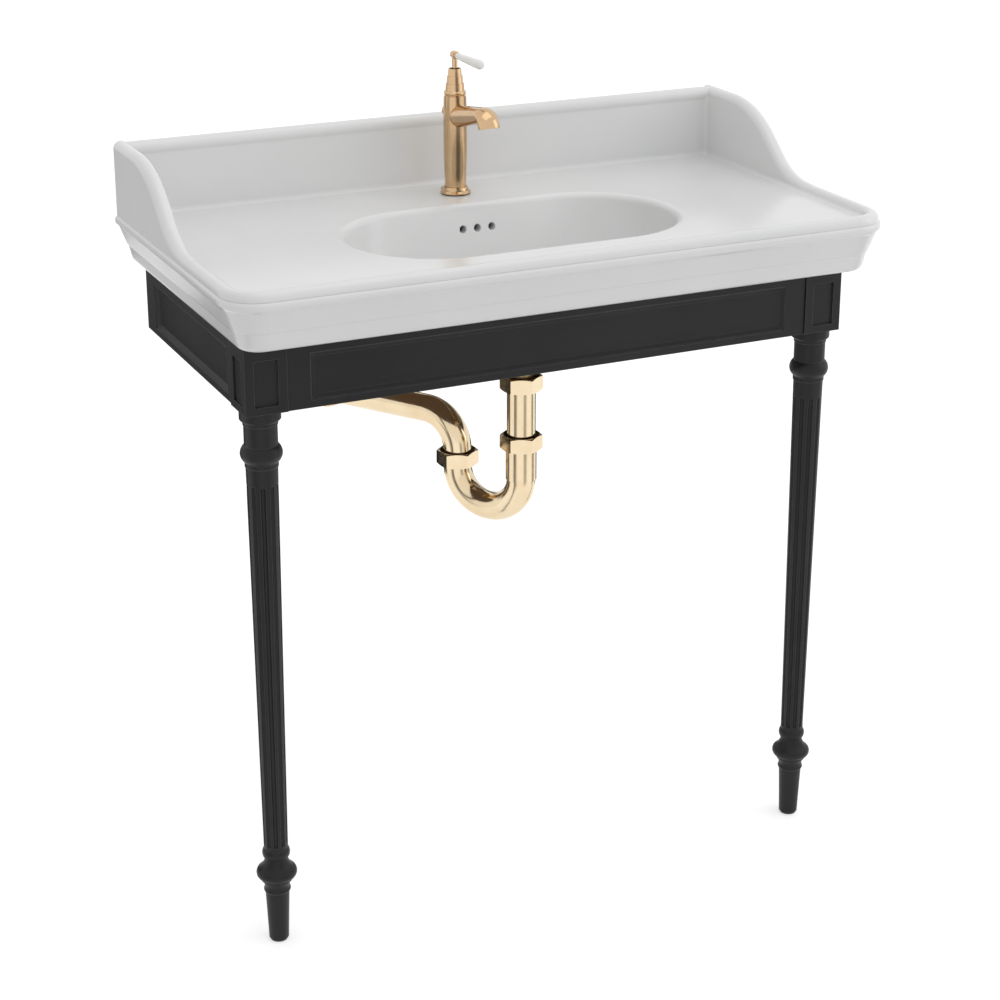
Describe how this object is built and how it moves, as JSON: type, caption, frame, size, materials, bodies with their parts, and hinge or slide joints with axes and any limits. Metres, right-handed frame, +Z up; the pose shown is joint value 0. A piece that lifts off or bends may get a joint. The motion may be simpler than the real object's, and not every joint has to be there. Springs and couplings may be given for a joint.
{
  "type": "console sink with legs",
  "caption": "Vitreous china console sink with winged upstand on a panelled black apron frame with two turned fluted legs, single-lever tap, pop-up waste and P-trap.",
  "frame": {"origin": "on the floor, at the middle of the footprint; the wall plane is at y = +0.233 m", "axes": "+Z up, +Y toward the wall, +X to the right seen from the front"},
  "size_m": [0.9, 0.466, 1.0831],
  "materials": {
    "china": "gloss",
    "black_lacquer": "satin black lacquer",
    "tap_metal": "polished rose bronze plating",
    "drain_metal": "polished pale gold plating",
    "bare_brass": "turned",
    "zinc_steel": "zinc plated",
    "rubber": "matt",
    "lever_ceramic": "gloss",
    "dark_plastic": "matt",
    "cartridge_body": "gloss"
  },
  "bodies": {
    "console": {"basin": "china", "front_apron": "black_lacquer", "rear_wall_rail": "black_lacquer", "left_apron": "black_lacquer", "left_post": "black_lacquer", "left_brace": "black_lacquer", "left_leg": "black_lacquer", "right_apron": "black_lacquer", "right_post": "black_lacquer", "right_brace": "black_lacquer", "right_leg": "black_lacquer", "brace_screws": "zinc_steel", "wall_brackets": "zinc_steel", "bracket_screws": "zinc_steel", "bearing_strips": "rubber", "leg_studs": "zinc_steel", "foot_glides": "dark_plastic", "tap_body": "tap_metal", "tap_flange": "tap_metal", "tap_collar": "tap_metal", "tap_gasket": "rubber", "tap_washer": "zinc_steel", "tap_nut": "bare_brass", "tap_bonnet": "tap_metal", "cartridge": "cartridge_body", "tap_spout": "tap_metal", "spout_nozzle": "dark_plastic", "rod_guide": "tap_metal", "pivot_nut": "bare_brass", "waste_flange": "drain_metal", "waste_body": "bare_brass", "flange_seal": "rubber", "waste_washer": "rubber", "waste_nut": "bare_brass", "tailpiece": "bare_brass", "trap_bend": "drain_metal", "trap_inlet_tube": "drain_metal", "trap_inlet_nut": "drain_metal", "trap_bend_nut": "drain_metal", "trap_outlet_nut": "drain_metal", "trap_seals": "rubber", "trap_arm": "drain_metal", "wall_flange": "drain_metal"},
    "tap_turn": {"lever_spindle": "bare_brass", "stem_pin": "zinc_steel"},
    "tap_lever": {"lever_stem": "tap_metal", "lever_ferrule": "tap_metal", "lever_handle": "lever_ceramic"},
    "lift": {"lift_rod": "tap_metal", "lift_knob": "tap_metal", "clevis_strap": "zinc_steel", "strap_thumb_screw": "zinc_steel"},
    "pivot": {"pivot_rod": "zinc_steel"},
    "stopper": {"plug": "drain_metal"}
  },
  "joints": [
    {"name": "lever_turn", "type": "hinge", "parent": "console", "child": "tap_turn", "pos_m": [0, 0.151, 1.053], "axis": [0, 0, 1], "range_deg": [-45, 45]},
    {"name": "lever_tilt", "type": "hinge", "parent": "tap_turn", "child": "tap_lever", "pos_m": [0, 0.151, 1.053], "axis": [-1, 0, 0], "range_deg": [0, 18]},
    {"name": "rod_lift", "type": "slide", "parent": "console", "child": "lift", "axis": [0, 0, 1], "range_m": [0, 0.0375]},
    {"name": "pivot_rock", "type": "hinge", "parent": "console", "child": "pivot", "pos_m": [0, -0.024, 0.716], "axis": [1, 0, 0], "range_deg": [0, 10.5]},
    {"name": "stopper_travel", "type": "slide", "parent": "console", "child": "stopper", "axis": [0, 0, 1], "range_m": [-0.0059, 0]}
  ],
  "couplings": [
    {"joint": "pivot_rock", "follows": "rod_lift", "rad_per_m": 4.866},
    {"joint": "stopper_travel", "follows": "rod_lift", "ratio": -0.1561}
  ]
}
